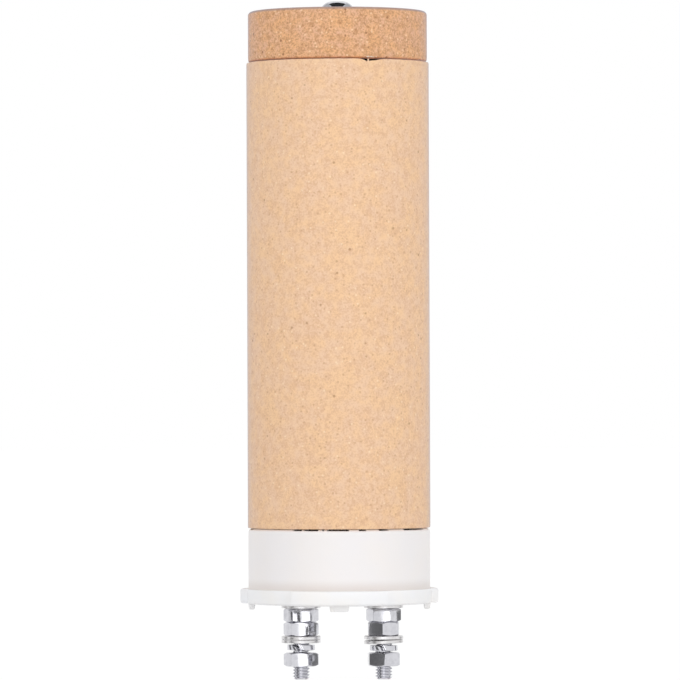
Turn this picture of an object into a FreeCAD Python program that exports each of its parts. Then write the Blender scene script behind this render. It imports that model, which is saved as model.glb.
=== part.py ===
import FreeCAD, Part
import math
import os
import re
import Sketcher

# Ceramic heating element for a hot air tool.
# Origin: centre of the base's flat underside. +Z runs up the core, -Y is the front.

# Driving sizes, in millimetres and degrees
SIZES = {
    # Heater core: a round block with two rings of lengthwise channels
    "core_radius": 21.0,
    "core_length": 107.0,
    "core_edge": 0.3,
    "core_wall": 1.8,
    "ring_web": 1.5,
    "channel_web": 2.7,
    "core_bore_clearance": 0.5,
    "chip_angle": 20.3,
    "chip_width": 5.8,
    "chip_depth": 0.5,
    "chip_reach": 1.1,
    # End cap: a disc with a hole over each channel
    "cap_set_in": 0.4,
    "cap_height": 11.8,
    "cap_round": 0.95,
    "cap_channel_narrowing": 0.3,
    "cap_recess_depth": 3.0,
    "cap_recess_margin": 1.5,
    "cap_counterbore": 1.5,
    # Terminal base: a cup with a lugged flange
    "rim_height": 17.35,
    "pad_height": 0.3,
    "base_set_in": 0.1,
    "base_shoulder": 0.8,
    "base_wall": 3.4,
    "cavity_round": 1.5,
    "floor_thickness": 4.5,
    "bar_height": 1.5,
    "bar_half_width": 5.6,
    "plate_ledge": 0.3,
    "plate_thickness": 3.7,
    "lug_reach": 1.6,
    "lug_angle": 58.0,
    "lug_round": 0.6,
    "foot_inset": 1.05,
    "foot_depth": 1.7,
    "foot_width": 4.6,
    "foot_height": 1.05,
    "foot_taper": 12.0,
    "window_ledge": 2.0,
    "window_web": 0.9,
    "window_corner": 1.5,
    "base_hole_clearance": 0.25,
    # Screw, studs, nuts and washers
    "thread_radius": 2.0,
    "thread_fit": 0.02,
    "thread_point": 0.5,
    "hex_flats": 7.0,
    "hex_face_inset": 0.15,
    "hex_chamfer": 30.0,
    "nut_height": 3.2,
    "washer_radius": 4.5,
    "washer_thickness": 0.8,
    "washer_bevel": 0.15,
    "washer_fit": 0.15,
    "seat_clearance": 0.3,
    "head_radius": 4.0,
    "head_height": 3.1,
    "head_land": 0.4,
    "cross_reach": 2.2,
    "cross_width": 0.95,
    "cross_depth": 1.6,
    "pocket_fit": 0.12,
    "pocket_depth": 3.6,
    "screw_tail": 0.2,
    # Terminals, one each side of the centre
    "stud_inset": 8.0,
    "stud_shift": 0.65,
    "stud_length": 25.0,
    "stud_head_height": 2.8,
    "stud_head_turn": 30.0,
    "spring_fit": 0.1,
    "spring_width": 1.05,
    "spring_thickness": 0.9,
    "spring_height": 2.2,
    "spring_slit": 16.0,
    "left_washer_lean": 0.0,
    "right_washer_lean": 2.0,
    "left_fixing_turn": 1.0,
    "left_lock_turn": -4.0,
    "left_terminal_turn": -5.0,
    "left_slit_turn": 246.0,
    "right_fixing_turn": -6.0,
    "right_lock_turn": 27.0,
    "right_terminal_turn": 35.0,
    "right_slit_turn": 256.0,
    # Heating coil: one wire, wound as a spiral in every channel
    "wire_radius": 0.5,
    "coil_clearance": 0.4,
    "coil_spare": 0.1,
    "coil_inset": 2.0,
    "bridge_gap": 0.2,
    "tail_gap": 0.5,
    "eye_fit": 0.15,
}

# Places worked out from the sizes.
# The six inner channels stand as far from the middle as from each other, so five channel radii,
# the two webs and the wall fill the core's radius
CHANNEL = "((core_radius - core_wall - ring_web - channel_web) / 5)"
CAP_CHANNEL = f"({CHANNEL} - cap_channel_narrowing)"
OUTER_RING = f"(core_radius - core_wall - {CHANNEL})"
INNER_RING = f"(2 * {CHANNEL} + channel_web)"
CAP_RADIUS = "(core_radius - cap_set_in)"
BASE_RADIUS = "(core_radius - base_set_in)"
CAVITY_RADIUS = f"({BASE_RADIUS} - base_wall)"
WINDOW_RADIUS = f"({CAVITY_RADIUS} - window_ledge)"
PLATE_RADIUS = f"({BASE_RADIUS} + plate_ledge)"
LUG_RADIUS = f"({PLATE_RADIUS} + lug_reach)"
FOOT_CIRCLE = f"({PLATE_RADIUS} - foot_inset)"
BAR_TOP = "(floor_thickness + bar_height)"
CORE_BOTTOM = "(rim_height + pad_height)"
CORE_TOP = f"({CORE_BOTTOM} + core_length)"
CAP_TOP = f"({CORE_TOP} + cap_height)"
SCREW_HOLE = "(thread_radius + core_bore_clearance)"
BASE_HOLE = "(thread_radius + base_hole_clearance)"
HEX_CORNER = "(hex_flats / 2 / cos(30))"
SCREW_SEAT = f"({CAP_TOP} - cap_counterbore + washer_thickness)"
LEFT_STUD = f"(stud_shift - {CAVITY_RADIUS} + stud_inset)"
RIGHT_STUD = f"(stud_shift + {CAVITY_RADIUS} - stud_inset)"
STUD_SEAT = f"({BAR_TOP} + washer_thickness + 2 * wire_radius)"
WINDOW_EDGE = "(bar_half_width + window_web)"
SPRING_OUTER = "(thread_radius + spring_fit + spring_width)"
COIL_RADIUS = f"({CHANNEL} - coil_clearance)"
COIL_WALL = "(2 * wire_radius + coil_spare)"

# The rings of channels, and the lugs and feet of the base
OUTER_CHANNELS = 12
INNER_CHANNELS = 6
LUGS = 3
FEET = 4

# The wire's way from the left stud to the right one: each channel it runs through, by ring and angle.
# It goes up the first, down the next and so on.
CIRCUIT = [
    (INNER_RING, 180), (OUTER_RING, 180), (OUTER_RING, 210), (OUTER_RING, 240), (INNER_RING, 240),
    (OUTER_RING, 270), (OUTER_RING, 300), (OUTER_RING, 330), (INNER_RING, 300), (OUTER_RING, 0),
    (OUTER_RING, 30), (INNER_RING, 60), (OUTER_RING, 60), (OUTER_RING, 90), (OUTER_RING, 120),
    (OUTER_RING, 150), (INNER_RING, 120), (INNER_RING, 0),
]

# The low stretches of the base's rim, which the core doesn't touch: start and width,
# in degrees anticlockwise from the front, seen from above
RIM_RELIEFS = [
    (-62.8, 22.2), (-30.9, 6.6), (-23.4, 10.2), (-10.9, 1.3), (-7.8, 14.2), (12.6, 5.0), (26.2, 7.1),
    (45.9, 24.3), (80.0, 16.0), (108.0, 21.0), (141.0, 9.0), (157.0, 18.0), (186.0, 12.0), (207.0, 25.0),
    (240.0, 15.0), (264.0, 22.0),
]
FRONT = -90

UP = FreeCAD.Vector(0, 0, 1)
QUARTER_TURN = math.pi / 2
NEAR = 1e-4
H_AXIS_INDEX = -1
V_AXIS_INDEX = -2
SKETCH_ORIGIN = (H_AXIS_INDEX, 1)

doc = FreeCAD.newDocument("heating_element")
sheet = doc.addObject("Spreadsheet::Sheet", "Sizes")
for row, (alias, size) in enumerate(SIZES.items(), start=1):
    sheet.set(f"A{row}", alias)
    sheet.set(f"B{row}", str(size))
    sheet.setAlias(f"B{row}", alias)
doc.recompute()


# Sizes and places
def bound(formula):
    """The formula with each size's name pointing at its cell."""
    return re.sub(r"[a-z_]+", lambda word: "Sizes." + word[0] if word[0] in SIZES else word[0], formula)


def number(formula):
    """What the formula comes to."""
    return float(sheet.evalExpression(formula))


def bind(thing, **formulas):
    """Bind properties to formulas; a double underscore stands for a dot in the property's name."""
    for name, formula in formulas.items():
        thing.setExpression(name.replace("__", "."), bound(formula))


def place(thing, x="0", y="0", z="0", turn="0"):
    """Put a piece at x, y, z, turned about the vertical."""
    bind(thing, Placement__Base__x=x, Placement__Base__y=y, Placement__Base__z=z)
    bind(thing, Placement__Rotation__Angle=turn)
    return thing


# Sketches
def new_sketch(body, name, plane, height="0"):
    """An empty sketch on one of the body's origin planes, or above it."""
    sketch = body.newObject("Sketcher::SketchObject", name)
    origin = next(feature for feature in body.Origin.OriginFeatures if feature.Role == plane)
    sketch.AttachmentSupport = [(origin, "")]
    sketch.MapMode = "FlatFace"
    bind(sketch, AttachmentOffset__Base__z=height)
    return sketch


def constrain(sketch, formula, kind, *where):
    """A dimension of the sketch, bound to a formula."""
    index = sketch.addConstraint(Sketcher.Constraint(kind, *where, number(formula)))
    sketch.setExpression(f"Constraints[{index}]", bound(formula))


def fix_point(sketch, edge, end, x, y):
    """Hold one end of an edge at x, y."""
    for kind, formula, axis in (("DistanceX", x, V_AXIS_INDEX), ("DistanceY", y, H_AXIS_INDEX)):
        if formula == "0":
            sketch.addConstraint(Sketcher.Constraint("PointOnObject", edge, end, axis))
        else:
            constrain(sketch, formula, kind, *SKETCH_ORIGIN, edge, end)


def outline(sketch, corners, dome=None):
    """A closed outline through corners given as formulas.

    Its edges are straight, but for the one numbered dome: a quarter arc, centred below its end.
    """
    points = [FreeCAD.Vector(number(x), number(y), 0) for x, y in corners]
    first = sketch.GeometryCount
    for index, (start, end) in enumerate(zip(points, points[1:] + points[:1])):
        if index == dome:
            whole = Part.Circle(FreeCAD.Vector(end.x, start.y, 0), UP, end.y - start.y)
            sketch.addGeometry(Part.ArcOfCircle(whole, 0, QUARTER_TURN))
        else:
            sketch.addGeometry(Part.LineSegment(start, end))
    for index, (x, y) in enumerate(corners):
        following = (index + 1) % len(corners)
        sketch.addConstraint(Sketcher.Constraint("Coincident", first + index, 2, first + following, 1))
        fix_point(sketch, first + index, 1, x, y)


def circle(sketch, radius, x="0", y="0"):
    """A circle round x, y."""
    centre = FreeCAD.Vector(number(x), number(y), 0)
    edge = sketch.addGeometry(Part.Circle(centre, UP, number(radius)))
    constrain(sketch, radius, "Radius", edge)
    fix_point(sketch, edge, 3, x, y)


# Features
def new_body(name):
    """An empty body, named as its piece is."""
    return doc.addObject("PartDesign::Body", name)


def pad(body, name, sketch, length, down=False, taper="0"):
    """Material raised from a sketch, upwards or downwards."""
    feature = body.newObject("PartDesign::Pad", name)
    feature.Profile = sketch
    feature.Reversed = down
    bind(feature, Length=length, TaperAngle=taper)
    return feature


def through_pocket(body, name, sketch):
    """A cut right through the body, both ways from the sketch."""
    feature = body.newObject("PartDesign::Pocket", name)
    feature.Profile = sketch
    feature.Type = "ThroughAll"
    feature.SideType = "Symmetric"
    return feature


def ring_of(body, name, feature, copies):
    """Copies of a feature, spaced evenly round the vertical axis."""
    pattern = body.newObject("PartDesign::PolarPattern", name)
    pattern.Originals = [feature]
    upright = next(axis for axis in body.Origin.OriginFeatures if axis.Role == "Z_Axis")
    pattern.Axis = (upright, [""])
    pattern.Angle = 360
    pattern.Occurrences = copies
    body.Tip = pattern
    return pattern


def revolve(body, name, sketch):
    """A sketch on the upright plane turned about the vertical."""
    feature = body.newObject("PartDesign::Revolution", name)
    feature.Profile = sketch
    feature.ReferenceAxis = (sketch, ["V_Axis"])
    feature.Angle = 360
    return feature


def turned_body(name, corners):
    """A body turned from an outline of (radius, height) corners."""
    body = new_body(name)
    sketch = new_sketch(body, name + "_profile", "XZ_Plane")
    outline(sketch, corners)
    revolve(body, name + "_turned", sketch)
    return body


def edges_at(feature, radius, height):
    """The names of the feature's round edges of this radius at this height."""
    doc.recompute()
    names = []
    for index, edge in enumerate(feature.Shape.Edges, start=1):
        curve = edge.Curve
        if isinstance(curve, Part.Circle) and abs(curve.Radius - number(radius)) < NEAR:
            if abs(curve.Center.z - number(height)) < NEAR:
                names.append(f"Edge{index}")
    return names


def round_edges(body, name, size, *rings, kind="Fillet"):
    """Round or bevel the body's ring edges, each given as (radius, height)."""
    last = body.Tip
    edges = [edge for radius, height in rings for edge in edges_at(last, radius, height)]
    feature = body.newObject("PartDesign::" + kind, name)
    feature.Base = (last, edges)
    bind(feature, **{"Radius" if kind == "Fillet" else "Size": size})
    return feature


def combined(kind, name, **pieces):
    """A boolean of pieces already made."""
    result = doc.addObject("Part::" + kind, name)
    for role, piece in pieces.items():
        setattr(result, role, piece)
    return result


# Heater core
def channel_ring(body, name, radius, ring, copies):
    """A ring of round channels right through a body."""
    sketch = new_sketch(body, name + "_profile", "XY_Plane")
    circle(sketch, radius, x=ring)
    return ring_of(body, name + "s", through_pocket(body, name, sketch), copies)


def heater_core():
    """The round block with its channels, bevelled ends and the small chip in its top edge."""
    body = new_body("heater_core")
    section = new_sketch(body, "core_section", "XY_Plane")
    circle(section, "core_radius")
    circle(section, SCREW_HOLE)
    pad(body, "core_block", section, "core_length")
    ends = [("core_radius", "0"), ("core_radius", "core_length")]
    round_edges(body, "core_bevels", "core_edge", *ends, kind="Chamfer")
    channel_ring(body, "outer_channel", CHANNEL, OUTER_RING, OUTER_CHANNELS)
    channel_ring(body, "inner_channel", CHANNEL, INNER_RING, INNER_CHANNELS)
    chip(body)
    return place(body, z=CORE_BOTTOM)


def chip(body):
    """A shallow scoop out of the core's top edge."""
    scoop = body.newObject("PartDesign::SubtractiveCylinder", "core_chip")
    scoop_radius = "((chip_width * chip_width / 4 + chip_depth * chip_depth) / 2 / chip_depth)"
    from_middle = "(core_radius - chip_reach)"
    bind(scoop, Radius=scoop_radius, Height="2 * chip_reach")
    outwards = FreeCAD.Vector(number("sin(chip_angle)"), -number("cos(chip_angle)"), 0)
    scoop.Placement = FreeCAD.Placement(FreeCAD.Vector(), FreeCAD.Rotation(UP, outwards))
    bind(
        scoop,
        Placement__Base__x=f"{from_middle} * sin(chip_angle)",
        Placement__Base__y=f"-{from_middle} * cos(chip_angle)",
        Placement__Base__z=f"core_length + {scoop_radius} - chip_depth",
    )


# End cap
def end_cap():
    """The disc over the core: a hole over each channel, room for the wire below and for the screw above."""
    recess = f"({OUTER_RING} + cap_recess_margin)"
    counterbore = "(washer_radius + seat_clearance)"
    counterbore_floor = "(cap_height - cap_counterbore)"
    body = turned_body(
        "end_cap",
        [
            (SCREW_HOLE, "cap_recess_depth"),
            (recess, "cap_recess_depth"),
            (recess, "0"),
            (CAP_RADIUS, "0"),
            (CAP_RADIUS, "cap_height"),
            (counterbore, "cap_height"),
            (counterbore, counterbore_floor),
            (SCREW_HOLE, counterbore_floor),
        ],
    )
    round_edges(body, "cap_top_round", "cap_round", (CAP_RADIUS, "cap_height"))
    round_edges(body, "cap_bottom_bevel", "core_edge", (CAP_RADIUS, "0"), kind="Chamfer")
    channel_ring(body, "outer_hole", CAP_CHANNEL, OUTER_RING, OUTER_CHANNELS)
    channel_ring(body, "inner_hole", CAP_CHANNEL, INNER_RING, INNER_CHANNELS)
    return place(body, z=CORE_TOP)


# Terminal base
def terminal_base():
    """The cup under the core, with its flange, lugs, feet, air windows, stud holes and nut pocket."""
    body = turned_body(
        "terminal_base",
        [
            ("0", "0"),
            (PLATE_RADIUS, "0"),
            (PLATE_RADIUS, "plate_thickness"),
            (BASE_RADIUS, "plate_thickness"),
            (BASE_RADIUS, CORE_BOTTOM),
            (CAVITY_RADIUS, CORE_BOTTOM),
            (CAVITY_RADIUS, "floor_thickness"),
            ("0", "floor_thickness"),
        ],
    )
    round_edges(body, "cavity_floor_round", "cavity_round", (CAVITY_RADIUS, "floor_thickness"))
    round_edges(body, "shoulder_round", "base_shoulder", (BASE_RADIUS, CORE_BOTTOM))
    base_lugs(body)
    base_feet(body)
    base_bar(body)
    base_windows(body)
    base_holes(body)
    for start, width in RIM_RELIEFS:
        rim_relief(body, start, width)
    return body


def base_lugs(body):
    """Lugs round the flange that key the element in its tube, one of them at the front."""
    lug = body.newObject("PartDesign::AdditiveCylinder", "lug")
    lug.Placement = FreeCAD.Placement(FreeCAD.Vector(), FreeCAD.Rotation(UP, FRONT))
    bind(lug, Radius=LUG_RADIUS, Height="plate_thickness", Angle="lug_angle")
    bind(lug, Placement__Rotation__Angle=f"{FRONT} - lug_angle / 2")
    ring_of(body, "lugs", lug, LUGS)
    round_edges(body, "lug_rounds", "lug_round", (LUG_RADIUS, "0"))


def base_feet(body):
    """Small tapered feet under the flange."""
    sketch = new_sketch(body, "foot_profile", "XY_Plane")
    near = f"-({FOOT_CIRCLE} - foot_depth / 2)"
    far = f"-({FOOT_CIRCLE} + foot_depth / 2)"
    side = "foot_width / 2"
    outline(sketch, [(f"-{side}", far), (side, far), (side, near), (f"-{side}", near)])
    foot = pad(body, "foot", sketch, "foot_height", down=True, taper="-foot_taper")
    ring_of(body, "feet", foot, FEET)


def base_bar(body):
    """The thick bar across the cup's floor that carries the studs and the screw."""
    sketch = new_sketch(body, "bar_profile", "XY_Plane", height="floor_thickness")
    end = f"({CAVITY_RADIUS} + {BASE_RADIUS}) / 2"
    side = "bar_half_width"
    outline(sketch, [(f"-{end}", f"-{side}"), (end, f"-{side}"), (end, side), (f"-{end}", side)])
    pad(body, "stud_bar", sketch, "bar_height")


def base_windows(body):
    """The two air windows through the floor, in front of the bar and behind it."""
    sketch = new_sketch(body, "window_profile", "XY_Plane")
    radius = number(WINDOW_RADIUS)
    edge = number(WINDOW_EDGE)
    corner_angle = math.asin(edge / radius)
    for side in (-1, 1):
        angles = sorted(side * angle for angle in (corner_angle, math.pi - corner_angle))
        whole = Part.Circle(FreeCAD.Vector(), UP, radius)
        arc = sketch.addGeometry(Part.ArcOfCircle(whole, *angles))
        reach = radius * math.cos(corner_angle)
        left = FreeCAD.Vector(-reach, side * edge, 0)
        right = FreeCAD.Vector(reach, side * edge, 0)
        start, end = (right, left) if side > 0 else (left, right)
        chord = sketch.addGeometry(Part.LineSegment(end, start))
        sketch.addConstraint(Sketcher.Constraint("Coincident", arc, 3, *SKETCH_ORIGIN))
        sketch.addConstraint(Sketcher.Constraint("Coincident", arc, 2, chord, 1))
        sketch.addConstraint(Sketcher.Constraint("Coincident", chord, 2, arc, 1))
        sketch.addConstraint(Sketcher.Constraint("Horizontal", chord))
        constrain(sketch, WINDOW_RADIUS, "Radius", arc)
        constrain(sketch, f"{side} * {WINDOW_EDGE}", "DistanceY", *SKETCH_ORIGIN, chord, 1)
    windows = through_pocket(body, "windows", sketch)
    doc.recompute()
    corners = []
    for index, rim in enumerate(windows.Shape.Edges, start=1):
        middle = rim.CenterOfMass
        upright = abs(rim.tangentAt(rim.FirstParameter).z) > 1 - NEAR
        on_chord = abs(abs(middle.y) - edge) < NEAR
        on_arc = abs(math.hypot(middle.x, middle.y) - radius) < NEAR
        if upright and on_chord and on_arc:
            corners.append(f"Edge{index}")
    rounding = body.newObject("PartDesign::Fillet", "window_rounds")
    rounding.Base = (windows, corners)
    bind(rounding, Radius="window_corner")


def base_holes(body):
    """The stud holes, the screw hole and the pocket that keeps the screw's nut from turning."""
    sketch = new_sketch(body, "hole_profile", "XY_Plane")
    circle(sketch, BASE_HOLE)
    circle(sketch, BASE_HOLE, x=LEFT_STUD)
    circle(sketch, BASE_HOLE, x=RIGHT_STUD)
    through_pocket(body, "stud_and_screw_holes", sketch)
    pocket_sketch = new_sketch(body, "nut_pocket_profile", "XY_Plane")
    reach = f"({HEX_CORNER} + pocket_fit)"
    outline(pocket_sketch, [(f"{reach} * cos({60 * k})", f"{reach} * sin({60 * k})") for k in range(6)])
    pocket = body.newObject("PartDesign::Pocket", "nut_pocket")
    pocket.Profile = pocket_sketch
    pocket.Reversed = True
    bind(pocket, Length="pocket_depth")


def rim_relief(body, start, width):
    """One low stretch of the rim."""
    relief = body.newObject("PartDesign::SubtractiveCylinder", "rim_relief")
    relief.Placement = FreeCAD.Placement(FreeCAD.Vector(), FreeCAD.Rotation(UP, FRONT + start))
    relief.Angle = width
    bind(relief, Radius=f"2 * {BASE_RADIUS}", Height="2 * pad_height", Placement__Base__z="rim_height")


# Screw, nuts and washers
def washer(name, x="0", z="0"):
    """A plain washer standing on z, its upper outside edge bevelled."""
    hole = "thread_radius + washer_fit"
    body = turned_body(
        name,
        [
            (hole, "0"),
            ("washer_radius", "0"),
            ("washer_radius", "washer_thickness - washer_bevel"),
            ("washer_radius - washer_bevel", "washer_thickness"),
            (hole, "washer_thickness"),
        ],
    )
    return place(body, x=x, z=z)


def hexagon(name, height, chamfered):
    """A hexagonal block, its corners bevelled at the ends named in chamfered."""
    block = doc.addObject("Part::Prism", name + "_block")
    block.Polygon = 6
    bind(block, Circumradius=HEX_CORNER, Height=height)
    face_radius = "(hex_flats / 2 - hex_face_inset)"
    wide_radius = f"({face_radius} + {height} / tan(hex_chamfer))"
    parts = [block]
    for end in chamfered:
        cone = doc.addObject("Part::Cone", f"{name}_{end}_bevel")
        low, high = (face_radius, wide_radius) if end == "lower" else (wide_radius, face_radius)
        bind(cone, Radius1=low, Radius2=high, Height=height)
        parts.append(cone)
    return combined("MultiCommon", name + "_hexagon", Shapes=parts)


def nut(name, x="0", z="0", turn="0"):
    """A hexagon nut standing on z."""
    hole = doc.addObject("Part::Cylinder", name + "_hole")
    bind(hole, Radius="thread_radius + thread_fit", Height="nut_height")
    solid = combined("Cut", name, Base=hexagon(name, "nut_height", ("lower", "upper")), Tool=hole)
    return place(solid, x=x, z=z, turn=turn)


def tie_screw():
    """The long pan head screw down the middle, its head seated on a washer in the cap."""
    body = new_body("tie_screw")
    length = f"({SCREW_SEAT} - pocket_depth + nut_height + screw_tail)"
    sketch = new_sketch(body, "screw_profile", "XZ_Plane")
    dome = "(head_height - head_land)"
    flat = f"(head_radius - {dome})"
    corners = [
        ("0", "head_height"),
        ("0", f"-{length}"),
        ("thread_radius - thread_point", f"-{length}"),
        ("thread_radius", f"thread_point - {length}"),
        ("thread_radius", "0"),
        ("head_radius", "0"),
        ("head_radius", "head_land"),
        (flat, "head_height"),
    ]
    dome_edge = len(corners) - 2
    outline(sketch, corners, dome=dome_edge)
    constrain(sketch, dome, "Radius", dome_edge)
    revolve(body, "screw_turned", sketch)
    cross_recess(body)
    return place(body, z=SCREW_SEAT)


def cross_recess(body):
    """The cross in the screw's head."""
    sketch = new_sketch(body, "cross_profile", "XY_Plane", height="head_height")
    arm = "cross_reach"
    half = "cross_width / 2"
    corners = [(arm, f"-{half}"), (arm, half), (half, half), (half, arm)]
    corners += [(f"-{half}", arm), (f"-{half}", half), (f"-{arm}", half), (f"-{arm}", f"-{half}")]
    corners += [(f"-{half}", f"-{half}"), (f"-{half}", f"-{arm}"), (half, f"-{arm}"), (half, f"-{half}")]
    outline(sketch, corners)
    pocket = body.newObject("PartDesign::Pocket", "cross_recess")
    pocket.Profile = sketch
    bind(pocket, Length="cross_depth")


# Terminals
def stud(name, x):
    """A hexagon head screw: its head holds the wire's eye inside the base, and its end is the terminal."""
    head = place(hexagon(name + "_head", "stud_head_height", ("upper",)), turn="stud_head_turn")
    shank = turned_body(
        name + "_shank",
        [
            ("0", "0"),
            ("0", "-stud_length"),
            ("thread_radius - thread_point", "-stud_length"),
            ("thread_radius", "thread_point - stud_length"),
            ("thread_radius", "0"),
        ],
    )
    return place(combined("MultiFuse", name, Shapes=[head, shank]), x=x, z=STUD_SEAT)


def spring_washer(name, x, top, height, turn):
    """A split washer: one left-hand turn of a flat strip, between top and top - height, its ends apart."""
    body = new_body(name)
    sketch = new_sketch(body, name + "_section", "XZ_Plane")
    inner = "thread_radius + spring_fit"
    thick = "spring_thickness"
    outline(sketch, [(inner, "0"), (SPRING_OUTER, "0"), (SPRING_OUTER, thick), (inner, thick)])
    turns = "(1 - spring_slit / 360)"
    helix = body.newObject("PartDesign::AdditiveHelix", name + "_turn")
    helix.Profile = sketch
    helix.ReferenceAxis = (sketch, ["V_Axis"])
    helix.Mode = "pitch-turns-angle"
    helix.LeftHanded = True
    bind(helix, Pitch=f"({height} - spring_thickness) / {turns}", Turns=turns)
    return place(body, x=x, z=f"{top} - {height}", turn=turn)


def terminal(side, x):
    """Everything on one stud, from the head inside the base down to the last nut."""
    lean = f"(washer_radius * sin({side}_washer_lean))"
    fixing_foot = "(-washer_thickness - nut_height)"
    lock_foot = f"({fixing_foot} - nut_height)"
    upper_foot = f"({lock_foot} - washer_thickness)"
    lower_foot = f"({upper_foot} - washer_thickness - {lean})"
    spring_top = f"({lower_foot} - {lean})"
    nut_top = f"({upper_foot} - washer_thickness - spring_height)"
    spring_room = f"({spring_top} - {nut_top})"
    lower = washer(f"{side}_lower_cable_washer", x=x, z=lower_foot)
    lower.Placement = FreeCAD.Placement(FreeCAD.Vector(), FreeCAD.Rotation(FreeCAD.Vector(0, -1, 0), 1))
    place(lower, x=x, z=lower_foot, turn=f"{side}_washer_lean")
    return [
        stud(f"{side}_terminal_stud", x),
        washer(f"{side}_inner_washer", x=x, z=BAR_TOP),
        washer(f"{side}_base_washer", x=x, z="-washer_thickness"),
        nut(f"{side}_fixing_nut", x=x, z=fixing_foot, turn=f"{side}_fixing_turn"),
        nut(f"{side}_lock_nut", x=x, z=lock_foot, turn=f"{side}_lock_turn"),
        washer(f"{side}_upper_cable_washer", x=x, z=upper_foot),
        lower,
        spring_washer(f"{side}_spring_washer", x, spring_top, spring_room, f"{side}_slit_turn"),
        nut(f"{side}_terminal_nut", x=x, z=f"{nut_top} - nut_height", turn=f"{side}_terminal_turn"),
    ]


# Heating coil
def vector(x, y, z):
    return FreeCAD.Vector(x, y, z)


def wire_along(points):
    """Round wire through the points, mitred at its bends."""
    path = Part.makePolygon(points)
    section = Part.Wire(Part.makeCircle(number("wire_radius"), points[0], points[1] - points[0]))
    mitred = 1
    return path.makePipeShell([section], True, False, mitred)


def channel_spot(ring, angle):
    """The middle of a channel, at the base's height."""
    return FreeCAD.Rotation(UP, angle).multVec(vector(number(ring), 0, 0))


def heating_coil():
    """The whole wire as one solid: each spiral as the tube it fills, with its bridges, tails and eyes."""
    low = number(CORE_BOTTOM)
    high = number(CORE_TOP)
    inset = number("coil_inset")
    radius = number(COIL_RADIUS)
    wall = number(COIL_WALL)
    run_radius = radius - wall / 2
    bridge = number("wire_radius + bridge_gap")
    spots = [channel_spot(ring, angle) for ring, angle in CIRCUIT]
    length = high - low - 2 * inset
    pieces = []
    for spot in spots:
        foot = spot + vector(0, 0, low + inset)
        inside_spiral = Part.makeCylinder(radius - wall, length, foot)
        pieces.append(Part.makeCylinder(radius, length, foot).cut(inside_spiral))
    for index, (here, there) in enumerate(zip(spots, spots[1:])):
        upper = index % 2 == 0
        inside = high - inset - wall if upper else low + inset + wall
        outside = high + bridge if upper else low - bridge
        step = (there - here).normalize() * run_radius
        ends = (here + step, there - step)
        levels = (inside, outside, outside, inside)
        spots_along = (ends[0], ends[0], ends[1], ends[1])
        pieces.append(wire_along([spot + vector(0, 0, level) for spot, level in zip(spots_along, levels)]))
    for stud_x, spot in ((LEFT_STUD, spots[0]), (RIGHT_STUD, spots[-1])):
        pieces += stud_tail(number(stud_x), spot + vector(0, run_radius, 0), low + inset + wall)
    coil = doc.addObject("Part::Feature", "heating_coil")
    coil.Shape = pieces[0].fuse(pieces[1:]).removeSplitter()
    return coil


def stud_tail(stud_x, leaves, inside):
    """The wire from a spiral down past the stud's head, and the flattened eye that the head clamps."""
    eye_level = number(f"{BAR_TOP} + washer_thickness + wire_radius")
    eye_inner = number("thread_radius + eye_fit")
    strip = 2 * number("wire_radius")
    beside_head = number(f"{HEX_CORNER} + tail_gap + wire_radius")
    bend = number(f"{STUD_SEAT} + stud_head_height") + number("tail_gap + wire_radius")
    route = [
        vector(leaves.x, leaves.y, inside),
        vector(leaves.x, leaves.y, bend + (inside - bend) / 2),
        vector(stud_x, beside_head, bend),
        vector(stud_x, beside_head, eye_level),
    ]
    foot = vector(stud_x, 0, eye_level - strip / 2)
    eye = Part.makeCylinder(eye_inner + strip, strip, foot).cut(Part.makeCylinder(eye_inner, strip, foot))
    flat_end = number(COIL_WALL)
    within_eye = eye_inner + strip / 2
    corner = foot + vector(-flat_end / 2, within_eye, 0)
    lead = Part.makeBox(flat_end, beside_head + flat_end / 2 - within_eye, strip, corner)
    return [wire_along(route), lead, eye]


pieces = [
    heater_core(),
    end_cap(),
    terminal_base(),
    heating_coil(),
    tie_screw(),
    washer("tie_screw_washer", z=f"{SCREW_SEAT} - washer_thickness"),
    nut("tie_screw_nut", z="pocket_depth - nut_height"),
    *terminal("left", LEFT_STUD),
    *terminal("right", RIGHT_STUD),
]
doc.recompute()

for thing in doc.Objects:
    if "Invalid" in thing.State or "Error" in thing.State:
        raise RuntimeError(f"{thing.Label} failed: {thing.State}")
for piece in pieces:
    if piece.Shape.isNull() or not piece.Shape.isValid():
        raise RuntimeError(f"{piece.Label} is not a sound solid")

os.makedirs("parts", exist_ok=True)
for piece in pieces:
    piece.Shape.exportStep(f"parts/{piece.Label}.step")
    print(piece.Label, len(piece.Shape.Solids), round(piece.Shape.Volume, 2))
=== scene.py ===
import math

import bmesh
import bpy
from mathutils import Matrix, Vector


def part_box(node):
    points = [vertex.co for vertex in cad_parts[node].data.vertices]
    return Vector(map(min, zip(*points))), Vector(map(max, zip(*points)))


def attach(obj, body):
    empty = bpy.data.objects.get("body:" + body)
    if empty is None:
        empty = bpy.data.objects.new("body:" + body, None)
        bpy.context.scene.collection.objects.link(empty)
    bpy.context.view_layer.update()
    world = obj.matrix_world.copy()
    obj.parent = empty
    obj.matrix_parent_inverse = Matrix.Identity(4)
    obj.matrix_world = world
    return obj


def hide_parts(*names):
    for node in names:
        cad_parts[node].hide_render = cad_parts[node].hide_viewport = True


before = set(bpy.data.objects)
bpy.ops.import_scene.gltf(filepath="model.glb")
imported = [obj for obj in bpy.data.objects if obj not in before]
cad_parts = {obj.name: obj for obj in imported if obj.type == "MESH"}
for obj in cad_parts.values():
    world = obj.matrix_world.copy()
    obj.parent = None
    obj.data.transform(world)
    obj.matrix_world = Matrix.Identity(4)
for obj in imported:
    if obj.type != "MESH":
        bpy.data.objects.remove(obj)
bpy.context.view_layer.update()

# A ceramic heating element for a hot air tool. Lengths are in metres, angles in radians.
MM = 0.001
FULL_TURN = 2 * math.pi
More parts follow.
